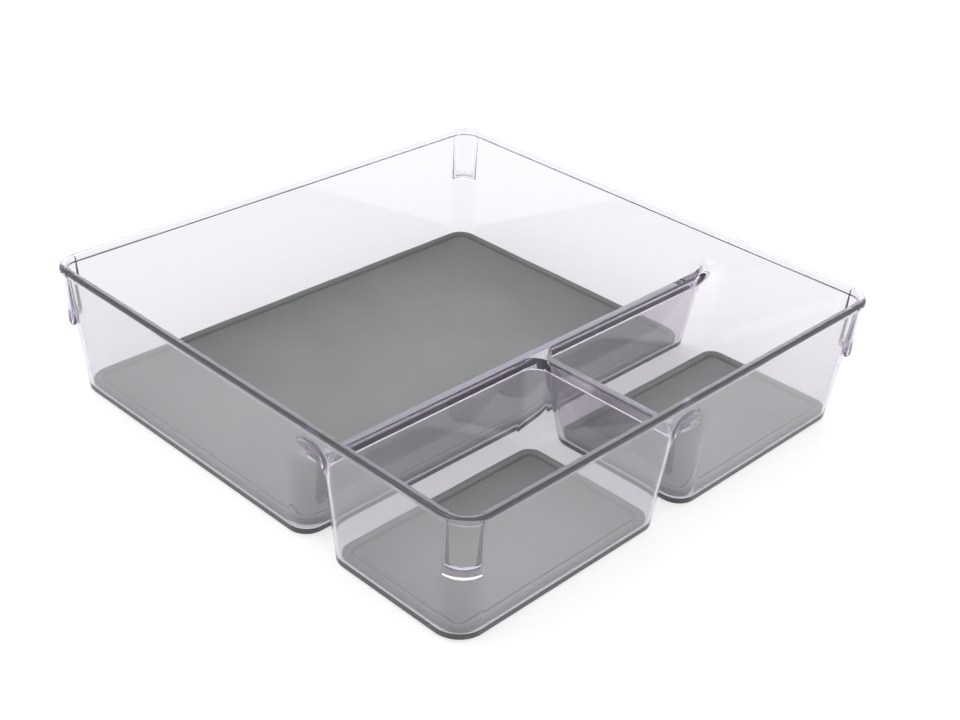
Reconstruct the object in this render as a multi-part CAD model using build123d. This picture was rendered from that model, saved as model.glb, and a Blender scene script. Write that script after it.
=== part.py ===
"""Drawer organizer insert: a clear moulded tray with three pans, a soft mat in each pan, and rubber feet.

Frame: X across the tray, Y from the two small pans (front) to the large pan (back), Z up.
The origin is on the surface that the feet stand on, under the middle of the tray. Sizes are in millimetres.
"""

import os
from math import acos, atan, atan2, cos, sin, sqrt

from build123d import *

# ---------------------------------------------------------------- driving dimensions
tray_width = 228.0  # along X, over the rim
tray_depth = 228.0  # along Y, over the rim
tray_height = 54.0  # from the pan undersides to the rim top
wall = 2.0  # thickness of every wall and floor
foot_stand = 1.0  # how far the feet hold the pans off the surface

rim_overhang = 1.3  # how far the rim stands out past the wall
rim_thickness = 3.2
rim_corner_radius = 11.0
rim_edge_radius = 1.0
base_inset = 5.6  # rim edge to wall at the level of the pan undersides
base_corner_radius = 11.0
base_edge_radius = 1.4
floor_edge_radius = 1.0

land_height = 38.3  # divider top above the pan undersides
land_width = 3.4
land_edge_radius = 0.2
gap_half_width = 6.1  # half the gap between two pans, at their undersides
gap_crown_radius = 0.6
front_pan_share = 1 / 3  # the small pans' share of the tray depth
flare_radius_base = 8.0  # gap side of a pan corner at the outer wall, at the underside
flare_radius_crown = 12.0  # the same, over the crown of the gap
junction_radius = 7.0  # pan corner radius where the two dividers meet

column_height = 24.5  # stacking column, from its foot up to the rim top
column_radius = 9.0
column_inset = 1.4  # rim edge to column, at the rim
column_draft = 0.0175  # inward lean per unit of height
column_side_wall = 1.2

mat_gap = 0.8  # clearance from a mat to the pan wall
mat_thickness = 1.2
mat_bead_height = 2.2
mat_bead_width = 3.4
mat_bead_edge_radius = 0.7
mat_corner_radius = 8.5
mat_foot_chamfer = 0.3

foot_radius = 5.0
foot_pocket_depth = 0.6
foot_edge_radius = 0.35
foot_corner_offset = 13.0  # foot centre, inward from the pan's base corner

# ---------------------------------------------------------------- worked out from them
base_z = foot_stand
rim_z = base_z + tray_height
floor_z = base_z + wall
land_z = base_z + land_height
divider_y = tray_depth * (front_pan_share - 0.5)
wall_slope = (base_inset - rim_overhang) / tray_height
wall_lean = atan(wall_slope)
wall_across = wall / cos(wall_lean)  # wall thickness measured level

land_half = land_width / 2
divider_slope = (gap_half_width + wall - land_half) / land_height
divider_lean = atan(divider_slope)
divider_across = wall / cos(divider_lean)
gap_closing_z = land_z - (divider_across - land_half) / divider_slope
crown_centre_z = gap_closing_z - gap_crown_radius / sin(divider_lean)

below = 1.0  # how far a cutter runs past the face that it opens
tiny = 1e-3
flare_steps = 10
flare_spacing = 1.5  # above 1, the flare's sections stand closer together at the wall


def wall_inset(z, thickness=0.0):
    """Distance from the rim edge to the wall face at height z; thickness moves from the outer face to the inner."""
    return rim_overhang + wall_slope * (rim_z - z) + thickness


def divider_half(z, thickness=0.0):
    """Half the width of a divider at height z; thickness moves from the pan side to the gap side."""
    return land_half + divider_slope * (land_z - z) - thickness


def rounded_plate(z, inset, radius):
    """Rounded rectangle at height z, inset on all sides from the rim outline."""
    outline = RectangleRounded(tray_width - 2 * inset, tray_depth - 2 * inset, radius)
    return Pos(0, 0, z) * outline


def tapered_body(z_low, z_high, thickness=0.0):
    """The tray's outer form between two heights, or the space inside it when thickness is the wall's."""
    plates = []
    for z in (z_low, z_high):
        plates.append(rounded_plate(z, wall_inset(z, thickness), base_corner_radius - thickness))
    return loft(plates, ruled=True)


# ---------------------------------------------------------------- dividers
def flare(radius, distance):
    """Growth of a section at this distance from the wall face, for a sweep of this radius into the wall."""
    reach = max(radius - distance, 0.0)
    return radius - sqrt(radius**2 - reach**2)


def tangent_point(start, centre, radius):
    """Where a line from start, right of and below the centre, touches the right of the circle."""
    across = start[0] - centre[0]
    up = start[1] - centre[1]
    angle = atan2(up, across) + acos(radius / sqrt(across**2 + up**2))
    return centre[0] + radius * cos(angle), centre[1] + radius * sin(angle)


def divider_section(place, foot, crown_centres, crown_radius):
    """Closed section: level foot, two leaning sides, and a crown of one or two arcs about crown_centres."""
    right_centre = crown_centres[0]
    touch = tangent_point(foot, right_centre, crown_radius)
    top = right_centre[1] + crown_radius
    foot_right = place(*foot)
    foot_left = place(-foot[0], foot[1])
    touch_right = place(*touch)
    touch_left = place(-touch[0], touch[1])
    edges = [Edge.make_line(foot_left, foot_right), Edge.make_line(foot_right, touch_right)]
    if len(crown_centres) == 1:
        edges.append(Edge.make_three_point_arc(touch_right, place(0, top), touch_left))
    else:
        half = right_centre[0]
        turn = 0.5 * (atan2(touch[1] - right_centre[1], touch[0] - half) + atan2(1, 0))
        middle = (half + crown_radius * cos(turn), right_centre[1] + crown_radius * sin(turn))
        edges.append(Edge.make_three_point_arc(touch_right, place(*middle), place(half, top)))
        edges.append(Edge.make_line(place(half, top), place(-half, top)))
        edges.append(Edge.make_three_point_arc(place(-half, top), place(-middle[0], middle[1]), touch_left))
    edges.append(Edge.make_line(touch_left, foot_left))
    return Wire(edges)


class DividerForm:
    """The space a divider takes from the pans (solid side) or the gap under it (hollow side)."""

    def __init__(self, hollow):
        self.hollow = hollow
        self.face_depth = 0.0 if hollow else wall_across
        self.shrink = 0.0 if hollow else wall
        self.foot_z = (base_z if hollow else floor_z) - below
        self.foot_half = divider_half(self.foot_z, divider_across if hollow else 0.0)
        self.crown_radius = gap_crown_radius if hollow else land_edge_radius
        self.crown_z = crown_centre_z if hollow else land_z - land_edge_radius
        self.crown_offset = 0.0 if hollow else land_half - land_edge_radius
        self.flare_low = flare_radius_base - self.shrink
        self.flare_high = flare_radius_crown - self.shrink

    def section(self, side_sign, distance):
        """Section parallel to the wall on the X side given, at a distance inward from the wall face."""
        base_x = tray_width / 2 - wall_inset(base_z, self.face_depth)

        def level(z):
            return (z - base_z - distance * sin(wall_lean)) / cos(wall_lean)

        def place(across, up):
            x = base_x - distance * cos(wall_lean) + up * sin(wall_lean)
            z = base_z + distance * sin(wall_lean) + up * cos(wall_lean)
            return Vector(side_sign * x, across, z)

        grow_low = flare(self.flare_low, distance)
        grow_high = flare(self.flare_high, distance)
        foot = (self.foot_half + grow_low, level(self.foot_z))
        centres = [(self.crown_offset, level(self.crown_z))]
        if not self.hollow:
            centres.append((-self.crown_offset, level(self.crown_z)))
        return divider_section(place, foot, centres, self.crown_radius + grow_high)

    def wall_end(self, side_sign):
        """The part that flares out as it meets the wall."""
        sections = []
        for step in range(flare_steps + 1):
            distance = self.flare_high * (step / flare_steps) ** flare_spacing
            sections.append(self.section(side_sign, distance))
        return Solid.make_loft(sections)

    def straight(self, from_sign):
        """The even stretch from one wall's flare to the other's."""
        near = self.section(from_sign, self.flare_high)
        far = self.section(-from_sign, self.flare_high)
        return Solid.make_loft([near, far], ruled=True)

    def solid(self):
        """Both dividers: one across the tray, one from its middle to the front wall."""
        shift = Pos(0, divider_y, 0)
        whole = shift * self.straight(1)
        for sign in (1, -1):
            whole += shift * self.wall_end(sign)
        turned = Rot(0, 0, -90)
        half_space = Pos(0, divider_y - tray_depth, 0) * Box(tray_width, 2 * tray_depth, 4 * tray_height)
        whole += (turned * self.straight(1)) & half_space
        whole += turned * self.wall_end(1)
        return whole


def junction_edges(solid, low_z):
    """The two leaning edges, rising from low_z, where the middle divider meets the cross divider."""
    found = []
    for edge in solid.edges():
        box = edge.bounding_box()
        rises = abs(box.min.Z - low_z) < tiny and box.size.Z > land_height / 2
        middle = edge.center()
        near = abs(middle.X) < 2 * gap_half_width and middle.Y > divider_y - 2 * gap_half_width
        if rises and near:
            found.append(edge)
    return found


def pan_edges(solid, z):
    """The edges at height z, in one list for each of the three pans."""
    pans = {}
    for edge in solid.edges():
        if abs(edge.bounding_box().max.Z - z) < tiny:
            middle = edge @ 0.5
            pans.setdefault((middle.Y > divider_y, middle.Y < divider_y and middle.X > 0), []).append(edge)
    return list(pans.values())


def soften(solid, low_z, corner_radius, edge_radius):
    """Rounds the pan corners where the dividers meet, then the edge all round each pan at low_z."""
    solid = solid.fillet(corner_radius, junction_edges(solid, low_z))
    for pan in range(3):
        solid = solid.fillet(edge_radius, pan_edges(solid, low_z)[pan])
    return solid


# ---------------------------------------------------------------- rim and stacking columns
def rim_band():
    """The outward bead along the top of the wall, with rounded edges."""
    outline = Pos(0, 0, rim_z - rim_thickness) * RectangleRounded(tray_width, tray_depth, rim_corner_radius)
    band = extrude(outline, rim_thickness)
    top_and_bottom = band.edges().filter_by(lambda e: abs(e.bounding_box().size.Z) < tiny)
    return fillet(top_and_bottom, rim_edge_radius)


def corner_quadrant(z, inset, radius, side):
    """Quarter disc that rounds off the tray's +X +Y corner, with side taken off each straight edge."""
    centre = Pos(tray_width / 2 - inset - radius, tray_depth / 2 - inset - radius, z)
    disc = centre * Circle(radius)
    block = centre * Pos(side, side) * Rectangle(radius, radius, align=(Align.MIN, Align.MIN))
    return disc & block


def column_form(z_low, z_high, inset, radius, side):
    """A corner column's outer form, or its hollow when the sizes are the hollow's."""
    plates = []
    for z in (z_low, z_high):
        plates.append(corner_quadrant(z, inset + column_draft * (rim_z - z), radius, side))
    return loft(plates, ruled=True)


def at_corners(piece):
    """The same piece in all four corners of the tray."""
    copies = []
    for flip_x in (False, True):
        for flip_y in (False, True):
            copy = mirror(piece, Plane.YZ) if flip_x else piece
            copies.append(mirror(copy, Plane.XZ) if flip_y else copy)
    return copies


# ---------------------------------------------------------------- the pieces
def foot_places():
    """Centres of the four feet, with a name for each."""
    across = tray_width / 2 - base_inset - foot_corner_offset
    places = {}
    for side, x in (("left", -across), ("right", across)):
        for end, y in (("front", -across), ("back", across)):
            places[f"foot_{end}_{side}"] = (x, y)
    return places


def make_tray():
    """The clear moulding: rim, walls, three pans, hollow dividers and corner columns."""
    outer = tapered_body(base_z, rim_z) - DividerForm(hollow=True).solid()
    outer = soften(outer, base_z, junction_radius + wall, base_edge_radius)
    inner = tapered_body(floor_z, rim_z + below, wall_across) - DividerForm(hollow=False).solid()
    inner = soften(inner, floor_z, junction_radius, floor_edge_radius)
    foot_z = rim_z - column_height
    column = column_form(foot_z, rim_z - rim_edge_radius, column_inset, column_radius, 0.0)
    hollow_sizes = (column_inset + wall, column_radius - wall, column_side_wall)
    hollow = column_form(foot_z + wall, rim_z + below, *hollow_sizes)
    tray = outer + rim_band()
    for block in at_corners(column):
        tray += block
    tray -= inner
    for block in at_corners(hollow):
        tray -= block
    for x, y in foot_places().values():
        tray -= Pos(x, y, base_z) * Cylinder(foot_radius, 2 * foot_pocket_depth)
    return tray


def mat_outlines():
    """Each mat's outline as its low and high X and Y."""
    side = tray_width / 2 - wall_inset(floor_z, wall_across) - mat_gap
    end = tray_depth / 2 - wall_inset(floor_z, wall_across) - mat_gap
    middle = divider_half(floor_z) + mat_gap
    return {
        "large_mat": (-side, side, divider_y + middle, end),
        "left_mat": (-side, -middle, -end, divider_y - middle),
        "right_mat": (middle, side, -end, divider_y - middle),
    }


def make_mat(x_low, x_high, y_low, y_high):
    """A flat mat with a raised border, lying on the pan floor."""
    centre = Pos((x_low + x_high) / 2, (y_low + y_high) / 2, floor_z)
    outline = RectangleRounded(x_high - x_low, y_high - y_low, mat_corner_radius)
    field = offset(outline, -mat_bead_width)
    slab = extrude(outline, mat_bead_height)
    slab -= Pos(0, 0, mat_thickness) * extrude(field, mat_bead_height)
    top = slab.edges().filter_by(lambda e: e.bounding_box().min.Z > mat_bead_height - tiny)
    slab = fillet(top, mat_bead_edge_radius)
    bottom = slab.edges().filter_by(lambda e: e.bounding_box().max.Z < tiny)
    return centre * chamfer(bottom, mat_foot_chamfer)


def make_foot(x, y):
    """A small rubber disc that fills its pocket and stands on the surface."""
    height = foot_stand + foot_pocket_depth
    disc = Pos(x, y, 0) * Cylinder(foot_radius, height, align=(Align.CENTER, Align.CENTER, Align.MIN))
    lower_edge = disc.edges().filter_by(lambda e: e.bounding_box().max.Z < tiny)
    return fillet(lower_edge, foot_edge_radius)


pieces = {"tray": make_tray()}
for name, outline in mat_outlines().items():
    pieces[name] = make_mat(*outline)
for name, place in foot_places().items():
    pieces[name] = make_foot(*place)

os.makedirs("parts", exist_ok=True)
for name, piece in pieces.items():
    export_step(piece, f"parts/{name}.step")
    print(name, round(piece.volume, 1), "mm3")
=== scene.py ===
"""Looks of the drawer organizer insert: a clear tray with three pans, soft grey mats and rubber feet.

Everything is in metres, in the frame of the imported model: X across the tray, -Y the side of the two small
pans, Z up, and the origin on the surface that the feet stand on, under the middle of the tray.
"""

import math

import bmesh
import bpy
from mathutils import Matrix, Vector


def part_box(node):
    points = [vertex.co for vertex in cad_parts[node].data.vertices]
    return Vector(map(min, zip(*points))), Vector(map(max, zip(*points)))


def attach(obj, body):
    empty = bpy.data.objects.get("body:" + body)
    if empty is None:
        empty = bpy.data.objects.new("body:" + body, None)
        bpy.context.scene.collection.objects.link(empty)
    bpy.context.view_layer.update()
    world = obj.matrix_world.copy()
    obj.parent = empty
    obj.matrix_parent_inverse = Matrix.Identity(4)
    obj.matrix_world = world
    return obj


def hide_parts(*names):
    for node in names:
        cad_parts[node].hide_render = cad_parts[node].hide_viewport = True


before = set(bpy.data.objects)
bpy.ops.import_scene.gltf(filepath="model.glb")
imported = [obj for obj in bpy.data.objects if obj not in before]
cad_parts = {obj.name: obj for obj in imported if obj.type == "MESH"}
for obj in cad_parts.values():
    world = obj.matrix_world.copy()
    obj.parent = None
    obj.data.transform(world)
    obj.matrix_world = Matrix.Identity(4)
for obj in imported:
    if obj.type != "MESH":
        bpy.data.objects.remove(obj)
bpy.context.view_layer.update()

# ---------------------------------------------------------------- camera
VIEW_AZIMUTH = math.radians(-47.16)
VIEW_ELEVATION = math.radians(30.43)
VIEW_ROLL = math.radians(3.44)
VIEW_DISTANCE = 0.590
VIEW_TARGET = Vector((-0.0065, -0.0159, 0.0280))
SENSOR_WIDTH = 36.0
LENS = 57.0


def make_camera():
    """The main view: from above the front left corner, with the camera a little tilted."""
    data = bpy.data.cameras.new("camera")
    data.sensor_width = SENSOR_WIDTH
    data.lens = LENS
    camera = bpy.data.objects.new("camera", data)
    level = math.cos(VIEW_ELEVATION)
    back = Vector((
        math.sin(VIEW_AZIMUTH) * level,
        -math.cos(VIEW_AZIMUTH) * level,
        math.sin(VIEW_ELEVATION),
    ))
    turn = (-back).to_track_quat("-Z", "Y").to_matrix() @ Matrix.Rotation(VIEW_ROLL, 3, "Z")
    camera.matrix_world = Matrix.Translation(VIEW_TARGET + back * VIEW_DISTANCE) @ turn.to_4x4()
    bpy.context.scene.collection.objects.link(camera)
    bpy.context.scene.camera = camera


# ---------------------------------------------------------------- materials
PLASTIC_COLOUR = (0.9, 0.89, 0.9, 1)
PLASTIC_IOR = 1.57
PLASTIC_CLARITY = 0.965
PLASTIC_DEPTH_COLOUR = (0.62, 0.55, 0.72, 1)  # what a long way through the plastic turns light to
PLASTIC_DEPTH_DENSITY = 90.0
PLASTIC_GLOSS = (0.015, 0.06)  # roughness, where it is polished and where it is worn
WEAR_SCALE, WEAR_DETAIL = 60.0, 5.0
FLOW_SCALE, FLOW_DETAIL = 22.0, 1.0
FLOW_STRENGTH, FLOW_DEPTH = 0.25, 0.0003

RUBBER_ROUGHNESS = 0.6
RUBBER_SPECULAR = 0.3
CLOUD_SCALE, CLOUD_DETAIL = 35.0, 4.0
CLOUD_ENDS = (0.3, 0.7)  # where on the noise the darker and the lighter grey stand
GRAIN_SCALE, GRAIN_DETAIL = 2500.0, 2.0
GRAIN_STRENGTH, GRAIN_DEPTH = 0.35, 0.0001

LARGE_MAT_GREYS = ((0.232, 0.238, 0.238, 1), (0.258, 0.264, 0.263, 1))
# The small mats' greys are lighter than the large mat's: painted light, standing in for the light that the
# clear divider walls hold back from the small pans.
SMALL_MAT_PAINTED_LIGHT_GREYS = ((0.29, 0.296, 0.296, 1), (0.325, 0.331, 0.33, 1))
FOOT_GREYS = ((0.5, 0.5, 0.5, 1), (0.56, 0.56, 0.56, 1))


def new_material(name):
    """A node material with its nodes, links and shader, ready for sockets and textures."""
    material = bpy.data.materials.new(name)
    material.use_nodes = True
    nodes = material.node_tree.nodes
    shader = next(node for node in nodes if node.type == "BSDF_PRINCIPLED")
    return material, nodes, material.node_tree.links, shader


def add_noise(nodes, links, scale, detail):
    """The value of a noise that keeps to the piece it is on."""
    place = nodes.new("ShaderNodeTexCoord")
    noise = nodes.new("ShaderNodeTexNoise")
    noise.inputs["Scale"].default_value = scale
    noise.inputs["Detail"].default_value = detail
    links.new(place.outputs["Object"], noise.inputs["Vector"])
    return noise.outputs["Fac"]


def add_bump(nodes, links, shader, height, strength, depth):
    """Raises the shader's surface by a height."""
    bump = nodes.new("ShaderNodeBump")
    bump.inputs["Strength"].default_value = strength
    bump.inputs["Distance"].default_value = depth
    links.new(height, bump.inputs["Height"])
    links.new(bump.outputs["Normal"], shader.inputs["Normal"])


def clear_plastic():
    """Clear styrene with a faint violet tint and haze, slight waviness and fine wear."""
    material, nodes, links, shader = new_material("clear_plastic")
    shader.inputs["Base Color"].default_value = PLASTIC_COLOUR
    shader.inputs["IOR"].default_value = PLASTIC_IOR
    shader.inputs["Transmission Weight"].default_value = PLASTIC_CLARITY
    depth = nodes.new("ShaderNodeVolumeAbsorption")
    depth.inputs["Color"].default_value = PLASTIC_DEPTH_COLOUR
    depth.inputs["Density"].default_value = PLASTIC_DEPTH_DENSITY
    output = next(node for node in nodes if node.type == "OUTPUT_MATERIAL")
    links.new(depth.outputs["Volume"], output.inputs["Volume"])
    gloss = nodes.new("ShaderNodeMapRange")
    gloss.inputs["To Min"].default_value, gloss.inputs["To Max"].default_value = PLASTIC_GLOSS
    links.new(add_noise(nodes, links, WEAR_SCALE, WEAR_DETAIL), gloss.inputs["Value"])
    links.new(gloss.outputs["Result"], shader.inputs["Roughness"])
    flow = add_noise(nodes, links, FLOW_SCALE, FLOW_DETAIL)
    add_bump(nodes, links, shader, flow, FLOW_STRENGTH, FLOW_DEPTH)
    return material


def soft_grey(name, greys):
    """A soft moulded grey with a fine grain and faint clouding between two greys."""
    material, nodes, links, shader = new_material(name)
    shader.inputs["Roughness"].default_value = RUBBER_ROUGHNESS
    shader.inputs["Specular IOR Level"].default_value = RUBBER_SPECULAR
    tone = nodes.new("ShaderNodeValToRGB")
    for element, position, grey in zip(tone.color_ramp.elements, CLOUD_ENDS, greys):
        element.position = position
        element.color = grey
    links.new(add_noise(nodes, links, CLOUD_SCALE, CLOUD_DETAIL), tone.inputs["Fac"])
    links.new(tone.outputs["Color"], shader.inputs["Base Color"])
    grain = add_noise(nodes, links, GRAIN_SCALE, GRAIN_DETAIL)
    add_bump(nodes, links, shader, grain, GRAIN_STRENGTH, GRAIN_DEPTH)
    return material


# ---------------------------------------------------------------- sizes, in millimetres
MM = 0.001
tray_low, tray_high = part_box("tray")
HALF = tray_high.x / MM  # half the tray's width and depth, over the rim
BASE_Z = tray_low.z / MM  # pan undersides
RIM_Z = tray_high.z / MM
WALL = 2.0

RIM_OVERHANG = 1.3  # how far the rim stands out past the wall
RIM_THICKNESS = 3.2
RIM_CORNER_RADIUS = 11.0
RIM_EDGE_RADIUS = 1.4  # outer edges
RIM_INNER_RADIUS = 0.9  # inner edge
BASE_INSET = 5.6  # rim edge to wall, at the pan undersides
BASE_CORNER_RADIUS = 11.0
BASE_EDGE_RADIUS = 1.0
FLOOR_EDGE_RADIUS = 1.0

LAND_HEIGHT = 38.3  # divider top above the pan undersides
LAND_HALF = 1.7
LAND_EDGE_RADIUS = 0.35
GAP_HALF_WIDTH = 6.1  # of the hollow in a divider, at the pan undersides
GAP_CROWN_RADIUS = 0.6
FLARE_RADIUS_BASE = 8.0  # where a divider meets a wall: the hollow's side, at the pan undersides
FLARE_RADIUS_LAND = 10.0  # the same: the divider's top
FLARE_RADIUS_CROWN = FLARE_RADIUS_LAND + WALL  # keeps the wall's thickness through the flare
JUNCTION_RADIUS = 7.0
FRONT_PAN_SHARE = 1 / 3  # the small pans' share of the tray's depth

COLUMN_HEIGHT = 24.5
COLUMN_RADIUS = 9.0
COLUMN_INSET = 1.4
COLUMN_DRAFT = 0.0175
COLUMN_SIDE_WALL = 0.3
COLUMN_WALL = 1.5
LEAN_SAMPLE = 1.0  # the height over which a side's lean is read

FLOOR_Z = BASE_Z + WALL
LAND_Z = BASE_Z + LAND_HEIGHT
DIVIDER_Y = 2 * HALF * (FRONT_PAN_SHARE - 0.5)
WALL_SLOPE = (BASE_INSET - RIM_OVERHANG) / (RIM_Z - BASE_Z)
WALL_LEAN = math.atan(WALL_SLOPE)
WALL_ACROSS = WALL / math.cos(WALL_LEAN)
DIVIDER_SLOPE = (GAP_HALF_WIDTH + WALL - LAND_HALF) / LAND_HEIGHT
DIVIDER_LEAN = math.atan(DIVIDER_SLOPE)
DIVIDER_ACROSS = WALL / math.cos(DIVIDER_LEAN)
GAP_CLOSING_Z = LAND_Z - (DIVIDER_ACROSS - LAND_HALF) / DIVIDER_SLOPE

# how finely each stretch is divided
WALL_STEPS = 8
SWEEP_STEPS = 6  # from a wall to the column in its corner
COLUMN_STEPS = 24
FLARE_STEPS = 18
DIVIDER_STEPS = 8
JUNCTION_STEPS = 16
EDGE_STEPS = 7
SIDE_STEPS = 3
LEAN_STEPS = 4
CROWN_STEPS = 14
FLARE_SPACING = 1.5  # above 1, the flare's sections stand closer together at the wall

STEP_EDGE_RADIUS = 0.5  # round the foot of each corner column
RECESS_EDGE_RADIUS = 3.5  # round the bottom of the hollow in each column
MERGE_DISTANCE = 2e-6
SHARP_ANGLE = math.radians(40)
NORMAL_WEIGHT = 100
LARGE, LEFT = "large", "left"
PLAIN, STEPPED, LEANING, CROWN, MIDDLE = range(5)  # kinds of level, from the bottom up


def between(a, b, share):
    """The value or point this share of the way from a to b."""
    return a + (b - a) * share


def wall_inset(z, thickness):
    """Distance from the rim edge to a wall face at height z."""
    return RIM_OVERHANG + WALL_SLOPE * (RIM_Z - z) + thickness


def flare_growth(radius, distance):
    """Growth of a divider's section at this distance from the wall that it sweeps into."""
    reach = max(radius - distance, 0.0)
    return radius - math.sqrt(radius**2 - reach**2)


def mirrored(points):
    """The same points on the other side of the tray's middle."""
    return [Vector((-point.x, point.y, point.z)) for point in points]


def shares(steps):
    """Equal steps from 0 to 1."""
    return [step / steps for step in range(steps + 1)]


def row(start, end, steps):
    """Points at equal steps from start to end."""
    return [Vector(start).lerp(Vector(end), share) for share in shares(steps)]


class Skin:
    """One face of the moulding: the inside of the pans, or the outside with the gaps under the dividers."""

    def __init__(self, outside):
        self.thickness = 0.0 if outside else WALL_ACROSS
        shrink = 0.0 if outside else WALL
        self.low_z = BASE_Z if outside else FLOOR_Z
        self.edge_radius = BASE_EDGE_RADIUS if outside else FLOOR_EDGE_RADIUS
        self.corner_radius = BASE_CORNER_RADIUS - self.thickness
        self.foot_half = LAND_HALF + DIVIDER_SLOPE * (LAND_Z - self.low_z)
        self.crown_radius = LAND_EDGE_RADIUS
        self.crown_offset = LAND_HALF - LAND_EDGE_RADIUS
        self.crown_z = LAND_Z - LAND_EDGE_RADIUS
        if outside:
            self.foot_half -= DIVIDER_ACROSS
            self.crown_radius = GAP_CROWN_RADIUS
            self.crown_offset = 0.0
            self.crown_z = GAP_CLOSING_Z - GAP_CROWN_RADIUS / math.sin(DIVIDER_LEAN)
        self.flare_low = FLARE_RADIUS_BASE - shrink
        self.flare_high = FLARE_RADIUS_CROWN if outside else FLARE_RADIUS_LAND
        self.junction_radius = JUNCTION_RADIUS + WALL - shrink
        self.step_z = RIM_Z - COLUMN_HEIGHT + shrink
        self.disc_radius = COLUMN_RADIUS - (0.0 if outside else COLUMN_WALL)
        self.disc_inset = COLUMN_INSET + COLUMN_RADIUS - self.disc_radius
        self.step_radius = STEP_EDGE_RADIUS if outside else RECESS_EDGE_RADIUS
        side = 0.0 if outside else COLUMN_SIDE_WALL
        self.disc_start = math.asin(side / self.disc_radius)

    # ---------------------------- dividers
    def divider_point(self, level, distance):
        """(half width, distance from the tray's middle, height) of a divider's side, near a wall."""
        kind, share, _ = level

        def up_at(z):
            return (z - BASE_Z - distance * math.sin(WALL_LEAN)) / math.cos(WALL_LEAN)

        radius = self.crown_radius + flare_growth(self.flare_high, distance)
        foot = (self.foot_half + flare_growth(self.flare_low, distance), up_at(self.low_z))
        centre = (self.crown_offset, up_at(self.crown_z))
        reach = math.hypot(foot[0] - centre[0], foot[1] - centre[1])
        touch_turn = math.atan2(foot[1] - centre[1], foot[0] - centre[0]) + math.acos(radius / reach)
        touch = (centre[0] + radius * math.cos(touch_turn), centre[1] + radius * math.sin(touch_turn))
        if kind in (PLAIN, STEPPED):
            up = up_at(share)
        elif kind == LEANING:
            up = between(up_at(self.step_z + self.step_radius), touch[1], share)
        else:
            turn = between(touch_turn, math.pi / 2, share)
            up = centre[1] + radius * math.sin(turn)
        if kind in (CROWN, MIDDLE):
            half = centre[0] + radius * math.cos(turn) if kind == CROWN else 0.0
        else:
            half = between(foot[0], touch[0], (up - foot[1]) / (touch[1] - foot[1]))
        base_run = HALF - wall_inset(BASE_Z, self.thickness)
        run = base_run - distance * math.cos(WALL_LEAN) + up * math.sin(WALL_LEAN)
        z = BASE_Z + distance * math.sin(WALL_LEAN) + up * math.cos(WALL_LEAN)
        return half, run, z

    def flare_points(self, level):
        """divider_point at each section of a flare but the first, from the wall inward."""
        steps = range(1, FLARE_STEPS + 1)
        distances = [self.flare_high * (step / FLARE_STEPS) ** FLARE_SPACING for step in steps]
        return [self.divider_point(level, distance) for distance in distances]

    # ---------------------------- walls
    def corner(self, z, stepped, grow=0.0):
        """The +X +Y corner at height z, from the right wall to the back one, with its column if stepped."""
        centre = HALF - wall_inset(z, self.thickness) - self.corner_radius
        disc_z = max(z, self.step_z)
        disc_inset = self.disc_inset + COLUMN_DRAFT * (RIM_Z - disc_z)
        wall_centre = HALF - wall_inset(disc_z, self.thickness) - self.corner_radius
        offset = HALF - disc_inset - self.disc_radius - wall_centre
        turns = []
        reaches = []
        for share in shares(COLUMN_STEPS):
            disc_turn = between(self.disc_start, math.pi / 2 - self.disc_start, share)
            x = offset + self.disc_radius * math.cos(disc_turn)
            y = offset + self.disc_radius * math.sin(disc_turn)
            turns.append(math.atan2(y, x))
            reach = max(math.hypot(x, y) + grow, self.corner_radius)
            reaches.append(reach if stepped else self.corner_radius)
        sweep = [turns[0] * share for share in shares(SWEEP_STEPS)]
        plain = [self.corner_radius + max(grow, 0.0)] * len(sweep)
        turns = sweep + turns + [math.pi / 2 - turn for turn in reversed(sweep)]
        reaches = plain + reaches + plain
        return [
            (centre + reach * math.cos(turn), centre + reach * math.sin(turn))
            for turn, reach in zip(turns, reaches)
        ]

    # ---------------------------- rings
    def ring(self, pan, level):
        """The closed line round a pan at one level, counter-clockwise, its outer walls first."""
        kind, share, grow = level
        gap, face, wall_z = self.divider_point(level, 0.0)
        half, run, z = self.divider_point(level, self.flare_high)
        corner = self.corner(wall_z, kind != PLAIN, grow)
        points = wall_chain(pan, face, gap, wall_z, corner)
        flare = self.flare_points(level)
        arc_end = self.crown_offset + self.junction_radius
        if pan == LARGE:
            left = [Vector((-run_s, DIVIDER_Y + half_s, z_s)) for half_s, run_s, z_s in flare]
            y = DIVIDER_Y + half
            stations = [-arc_end, 0.0, arc_end]
            straight = row((-run, y, z), (-arc_end, y, z), DIVIDER_STEPS)[1:]
            for low, high in zip(stations, stations[1:]):
                straight += row((low, y, z), (high, y, z), JUNCTION_STEPS // 2)[1:]
            straight += row((arc_end, y, z), (run, y, z), DIVIDER_STEPS)[1:-1]
            right = [Vector((-point.x, point.y, point.z)) for point in reversed(left)]
            return points + left + straight + right
        front = [Vector((-half_s, -run_s, z_s)) for half_s, run_s, z_s in flare]
        side = [Vector((-run_s, DIVIDER_Y - half_s, z_s)) for half_s, run_s, z_s in reversed(flare)]
        if kind == MIDDLE:
            bend = row((0.0, DIVIDER_Y - arc_end, z), (0.0, DIVIDER_Y, z), JUNCTION_STEPS // 2)
            bend += row((0.0, DIVIDER_Y, z), (-arc_end, DIVIDER_Y, z), JUNCTION_STEPS // 2)[1:]
        else:
            centre = (-half - self.junction_radius, DIVIDER_Y - half - self.junction_radius)
            bend = []
            for turn in (share * math.pi / 2 for share in shares(JUNCTION_STEPS)):
                x = centre[0] + self.junction_radius * math.cos(turn)
                bend.append(Vector((x, centre[1] + self.junction_radius * math.sin(turn), z)))
        up = row(front[-1], bend[0], DIVIDER_STEPS)[1:-1]
        across = row(bend[-1], side[0], DIVIDER_STEPS)[1:-1]
        return points + front + up + bend + across + side

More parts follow.
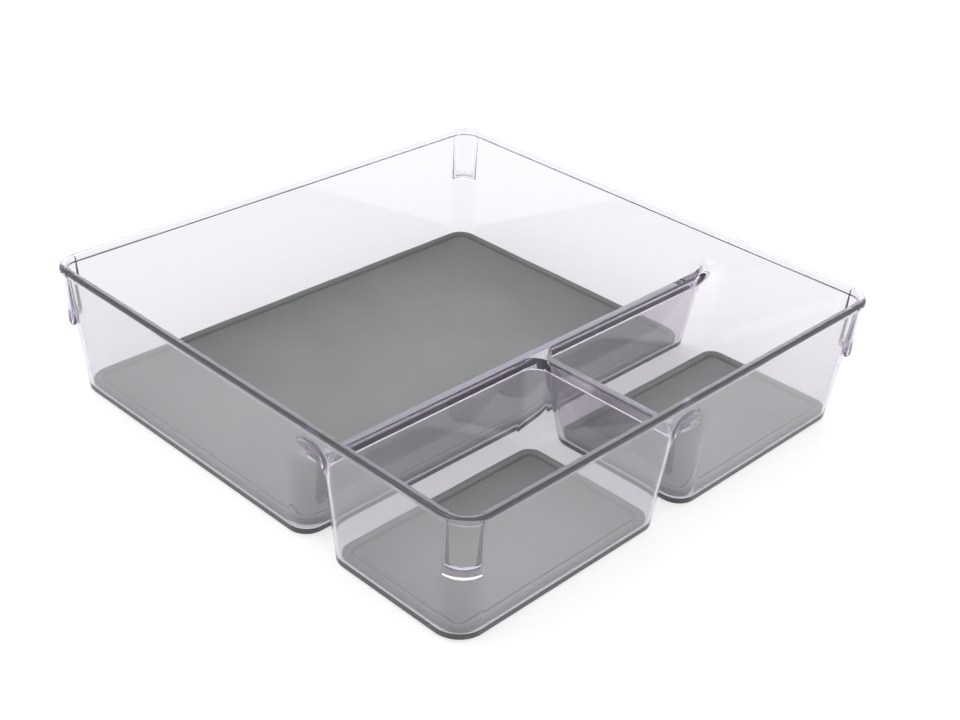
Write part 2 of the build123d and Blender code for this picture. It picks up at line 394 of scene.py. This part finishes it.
    def edge_rings(self, pan):
        """The rounded edge all round a pan's bottom, from its flat to its sides."""
        low = self.ring(pan, (PLAIN, self.low_z, 0.0))
        above = self.ring(pan, (PLAIN, self.low_z + LEAN_SAMPLE, 0.0))
        rings = [[] for _ in range(EDGE_STEPS + 1)]
        for index, point in enumerate(low):
            along = low[(index + 1) % len(low)] - low[index - 1]
            inward = Vector((-along.y, along.x, 0)).normalized()
            lean = math.atan(-(above[index] - point).dot(inward) / LEAN_SAMPLE)
            centre = self.edge_radius * (1 - math.sin(lean)) / math.cos(lean)
            for ring, share in zip(rings, shares(EDGE_STEPS)):
                turn = between(math.pi / 2, lean, share)
                shift = inward * (centre - self.edge_radius * math.cos(turn))
                height = Vector((0, 0, self.edge_radius * (1 - math.sin(turn))))
                ring.append(point + shift + height)
        return rings

    def levels(self):
        """Every level above the rounded bottom edge, up to the middle line of the dividers."""
        low = self.low_z + 2 * self.edge_radius
        found = [(PLAIN, between(low, self.step_z, share), 0.0) for share in shares(SIDE_STEPS)]
        for share in shares(EDGE_STEPS):
            turn = (share - 1) * math.pi / 2
            z = self.step_z + self.step_radius * (1 + math.sin(turn))
            found.append((STEPPED, z, -self.step_radius * (1 - math.cos(turn))))
        found += [(LEANING, share, 0.0) for share in shares(LEAN_STEPS)[1:]]
        found += [(CROWN, share, 0.0) for share in shares(CROWN_STEPS)[1:]]
        return found + [(MIDDLE, 1.0, 0.0)]

    def pan_rings(self, pan):
        """All rings of a pan, from its bottom up."""
        return self.edge_rings(pan) + [self.ring(pan, level) for level in self.levels()]


def wall_chain(pan, face, gap, z, corner):
    """Points along a pan's outer walls at height z, from one divider to the next."""
    if pan == LARGE:
        corners = [corner, [(-x, y) for x, y in reversed(corner)]]
        start, end = (face, DIVIDER_Y + gap), (-face, DIVIDER_Y + gap)
    else:
        corners = [[(-x, -y) for x, y in corner]]
        start, end = (-face, DIVIDER_Y - gap), (-gap, -face)
    chain = []
    last = start
    for points in corners:
        chain += row((*last, z), (*points[0], z), WALL_STEPS)[:-1]
        chain += [Vector((x, y, z)) for x, y in points]
        last = points[-1]
    return chain + row((*last, z), (*end, z), WALL_STEPS)[1:]


def rim_chains(pan, outer, inner):
    """Lines along a pan's outer walls, from under the rim, over it and down to the inside."""
    under = RIM_Z - RIM_THICKNESS
    chains = [wall_chain(pan, HALF - wall_inset(under, 0.0), 0.0, under, outer.corner(under, True))]
    turns = [share * math.pi / 2 for share in shares(EDGE_STEPS)]
    profile = [(math.cos(turn), under + RIM_EDGE_RADIUS * (1 - math.sin(turn))) for turn in reversed(turns)]
    profile += [(math.cos(turn), RIM_Z - RIM_EDGE_RADIUS * (1 - math.sin(turn))) for turn in turns]
    for out, z in profile:
        inset = RIM_EDGE_RADIUS * (1 - out)
        chains.append(wall_chain(pan, HALF - inset, 0.0, z, rim_corner(inset, outer)))
    for turn in reversed(turns):
        grow = RIM_INNER_RADIUS * (1 - math.cos(turn))
        z = RIM_Z - RIM_INNER_RADIUS * (1 - math.sin(turn))
        face = HALF - wall_inset(z, WALL_ACROSS) + grow
        chains.append(wall_chain(pan, face, 0.0, z, inner.corner(z, True, grow)))
    return chains


def rim_corner(inset, outer):
    """The rim's +X +Y corner, with its points in line with those of the wall under it."""
    centre = HALF - RIM_CORNER_RADIUS
    radius = RIM_CORNER_RADIUS - inset
    under = RIM_Z - RIM_THICKNESS
    wall_centre = HALF - wall_inset(under, 0.0) - outer.corner_radius
    turns = [math.atan2(y - wall_centre, x - wall_centre) for x, y in outer.corner(under, True)]
    return [(centre + radius * math.cos(turn), centre + radius * math.sin(turn)) for turn in turns]


class Mesh:
    """Vertices and faces of a piece while it is put together, in millimetres."""

    def __init__(self):
        self.points = []
        self.faces = []

    def grid(self, rings, closed):
        """Four-sided faces between each ring or line and the next."""
        first = len(self.points)
        count = len(rings[0])
        for ring in rings:
            self.points += ring
        spans = count if closed else count - 1
        for level in range(len(rings) - 1):
            start = first + level * count
            for index in range(spans):
                following = (index + 1) % count
                near = start + index
                far = start + following
                self.faces.append((near, far, far + count, near + count))

    def cap(self, ring):
        """One flat face inside a ring."""
        first = len(self.points)
        self.points += ring
        self.faces.append(tuple(range(first, first + len(ring))))

    def finish(self, name, material, body, nodes):
        """Joins what touches into a closed piece in metres, which replaces CAD nodes and rides on a body."""
        data = bpy.data.meshes.new(name)
        data.from_pydata([point * MM for point in self.points], [], self.faces)
        work = bmesh.new()
        work.from_mesh(data)
        bmesh.ops.remove_doubles(work, verts=work.verts, dist=MERGE_DISTANCE)
        bmesh.ops.dissolve_degenerate(work, edges=work.edges, dist=MERGE_DISTANCE)
        bmesh.ops.recalc_face_normals(work, faces=work.faces)
        work.to_mesh(data)
        work.free()
        data.shade_smooth()
        data.set_sharp_from_angle(angle=SHARP_ANGLE)
        data.materials.append(material)
        piece = bpy.data.objects.new(name, data)
        bpy.context.scene.collection.objects.link(piece)
        weighting = piece.modifiers.new("weighted_normals", "WEIGHTED_NORMAL")
        weighting.keep_sharp = True
        weighting.weight = NORMAL_WEIGHT
        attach(piece, body)
        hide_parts(*nodes)
        return piece


def make_tray(material):
    """The clear moulding, as one closed thin-walled skin."""
    outer = Skin(outside=True)
    inner = Skin(outside=False)
    mesh = Mesh()
    for pan in (LARGE, LEFT):
        outside = outer.pan_rings(pan)
        inside = inner.pan_rings(pan)
        chain = len(wall_chain(pan, HALF, 0.0, RIM_Z, inner.corner(RIM_Z, True)))
        over = [outside[-1][:chain]] + rim_chains(pan, outer, inner) + [inside[-1][:chain]]
        for flip in (False,) if pan == LARGE else (False, True):
            for rings, closed in ((outside, True), (inside, True), (over, False)):
                mesh.grid([mirrored(ring) if flip else ring for ring in rings], closed)
            for rings in (outside, inside):
                mesh.cap(mirrored(rings[0]) if flip else rings[0])
    return mesh.finish("clear_tray", material, "tray", ["tray"])


# ---------------------------------------------------------------- mats
MAT_LIFT = 0.08  # keeps a mat's underside off the pan floor
MAT_THICKNESS = 1.15
MAT_BEAD_TOP = 2.4
MAT_BEAD_WIDTH = 3.2
MAT_GROOVE_WIDTH = 0.9
MAT_GROOVE_DEPTH = 0.5
MAT_GROOVE_FLAT = (0.2, 0.6)  # where its deepest part starts and ends, in shares of its width
MAT_FOOT_EDGE = 0.3
LARGE_MAT_CORNER_RADIUS = 8.5
SMALL_MAT_CORNER_RADIUS = 6.0
MAT_LEAST_CORNER_RADIUS = 0.5
MAT_WAVE = 0.22  # how far a mat's edge wanders in
MAT_WAVE_LENGTH = 47.0
MAT_WAVE_SLANT = 0.7
MAT_WAVE_MIDDLE = 0.5
MAT_WAVE_LONG = 0.35
MAT_WAVE_SHORT = 0.15
MAT_WAVE_SHORTER = 2.3  # short waves to each long one
BEAD_STEPS = 12
MAT_CORNER_STEPS = 14
MAT_SIDE_SPACING = 3.0


def mat_profile():
    """(inset from the outline, height) from the underside's edge, over the bead, to the field."""
    profile = [(MAT_FOOT_EDGE, 0.0), (0.0, MAT_FOOT_EDGE)]
    for share in shares(BEAD_STEPS):
        turn = math.pi * share
        inset = MAT_BEAD_WIDTH * (1 - math.cos(turn)) / 2
        profile.append((inset, between(MAT_THICKNESS, MAT_BEAD_TOP, math.sin(turn))))
    groove = MAT_THICKNESS - MAT_GROOVE_DEPTH
    profile += [(MAT_BEAD_WIDTH + share * MAT_GROOVE_WIDTH, groove) for share in MAT_GROOVE_FLAT]
    profile.append((MAT_BEAD_WIDTH + MAT_GROOVE_WIDTH, MAT_THICKNESS))
    return profile


def mat_ring(low, high, radius, inset, z, seed):
    """A rounded rectangle, set in from the mat's outline, with a slightly wandering edge."""
    corner_radius = max(radius - inset, MAT_LEAST_CORNER_RADIUS)
    points = []
    for quarter, (x_sign, y_sign) in enumerate(((1, 1), (-1, 1), (-1, -1), (1, -1))):
        x_edge = high.x if x_sign > 0 else low.x
        y_edge = high.y if y_sign > 0 else low.y
        centre_x = x_edge - x_sign * (inset + corner_radius)
        centre_y = y_edge - y_sign * (inset + corner_radius)
        for share in shares(MAT_CORNER_STEPS):
            turn = (quarter + share) * math.pi / 2
            x = centre_x + corner_radius * math.cos(turn)
            points.append(Vector((x, centre_y + corner_radius * math.sin(turn), z)))
    full = []
    for index, point in enumerate(points):
        following = points[(index + 1) % len(points)]
        long_side = (index + 1) % (MAT_CORNER_STEPS + 1) == 0
        runs_along_x = abs(following.x - point.x) > abs(following.y - point.y)
        span = high.x - low.x if runs_along_x else high.y - low.y
        count = max(1, round(span / MAT_SIDE_SPACING)) if long_side else 1
        full += row(point, following, count)[:-1]
    middle = (low + high) / 2
    for point in full:
        outward = Vector((point.x - middle.x, point.y - middle.y, 0)).normalized()
        phase = 2 * math.pi * (point.x + MAT_WAVE_SLANT * point.y) / MAT_WAVE_LENGTH + seed
        wave = MAT_WAVE_LONG * math.sin(phase) + MAT_WAVE_SHORT * math.sin(MAT_WAVE_SHORTER * phase)
        point -= outward * MAT_WAVE * (MAT_WAVE_MIDDLE + wave)
    return full


def make_mat(node, radius, seed, material):
    """A soft mat with a half-round bead all round, loose in its pan."""
    low, high = (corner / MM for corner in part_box(node))
    base = low.z + MAT_LIFT
    rings = [mat_ring(low, high, radius, inset, base + z, seed) for inset, z in mat_profile()]
    mesh = Mesh()
    mesh.grid(rings, True)
    mesh.cap(rings[0])
    mesh.cap(rings[-1])
    return mesh.finish("soft_" + node, material, node, [node])


plastic = clear_plastic()
large_rubber = soft_grey("soft_mat_large", LARGE_MAT_GREYS)
# The small mats get a lighter copy of the same rubber: painted light for the light their pans lose through
# the clear walls.
small_rubber_painted_light = soft_grey("soft_mat_small_painted_light", SMALL_MAT_PAINTED_LIGHT_GREYS)
foot_rubber = soft_grey("foot_rubber", FOOT_GREYS)

make_tray(plastic)
make_mat("large_mat", LARGE_MAT_CORNER_RADIUS, 0, large_rubber)
make_mat("left_mat", SMALL_MAT_CORNER_RADIUS, 1, small_rubber_painted_light)
make_mat("right_mat", SMALL_MAT_CORNER_RADIUS, 2, small_rubber_painted_light)
for name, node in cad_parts.items():
    if name.startswith("foot"):
        node.data.materials.clear()
        node.data.materials.append(foot_rubber)

# ---------------------------------------------------------------- studio
FLOOR_SIZE = 20.0
FLOOR_COLOUR = (0.55, 0.55, 0.55, 1)
FLOOR_ROUGHNESS = 0.9
FLOOR_GLOW = 0.62
WHITE = (1, 1, 1, 1)
WORLD_STRENGTH = 0.85
BACK_RIGHT_BOX = {"place": (0.98, 0.92, 0.80), "target": (0, 0, 0.03), "size": 1.15, "power": 9.0}
TOP_LEFT_BOX = {"place": (-0.7, 0.5, 1.4), "target": (0, 0, 0), "size": 0.8, "power": 3.0}
CLEAR_BOUNCES = 24  # enough to pass through several clear walls
GLOSSY_BOUNCES = 8


def make_floor():
    """A wide white sheet under the feet."""
    half = FLOOR_SIZE / 2
    data = bpy.data.meshes.new("floor")
    corners = [(-half, -half, 0), (half, -half, 0), (half, half, 0), (-half, half, 0)]
    data.from_pydata(corners, [], [(0, 1, 2, 3)])
    floor = bpy.data.objects.new("floor", data)
    bpy.context.scene.collection.objects.link(floor)
    material, _, _, shader = new_material("floor_white")
    shader.inputs["Base Color"].default_value = FLOOR_COLOUR
    shader.inputs["Roughness"].default_value = FLOOR_ROUGHNESS
    shader.inputs["Emission Color"].default_value = WHITE
    shader.inputs["Emission Strength"].default_value = FLOOR_GLOW
    data.materials.append(material)


def area_light(name, place, target, size, power):
    """A square soft box at a place, turned to a target."""
    data = bpy.data.lights.new(name, "AREA")
    data.shape = "SQUARE"
    data.size = size
    data.energy = power
    light = bpy.data.objects.new(name, data)
    aim = (Vector(target) - Vector(place)).to_track_quat("-Z", "Y")
    light.matrix_world = Matrix.Translation(place) @ aim.to_matrix().to_4x4()
    bpy.context.scene.collection.objects.link(light)


def make_world(strength):
    """Even white light from all sides."""
    world = bpy.data.worlds.new("studio")
    world.use_nodes = True
    background = world.node_tree.nodes["Background"]
    background.inputs["Color"].default_value = WHITE
    background.inputs["Strength"].default_value = strength
    bpy.context.scene.world = world


make_camera()
make_floor()
make_world(WORLD_STRENGTH)
area_light("back_right", **BACK_RIGHT_BOX)
area_light("top_left", **TOP_LEFT_BOX)

scene = bpy.context.scene
scene.view_settings.view_transform = "Standard"
scene.cycles.max_bounces = CLEAR_BOUNCES
scene.cycles.transmission_bounces = CLEAR_BOUNCES
scene.cycles.glossy_bounces = GLOSSY_BOUNCES
scene.cycles.transparent_max_bounces = CLEAR_BOUNCES
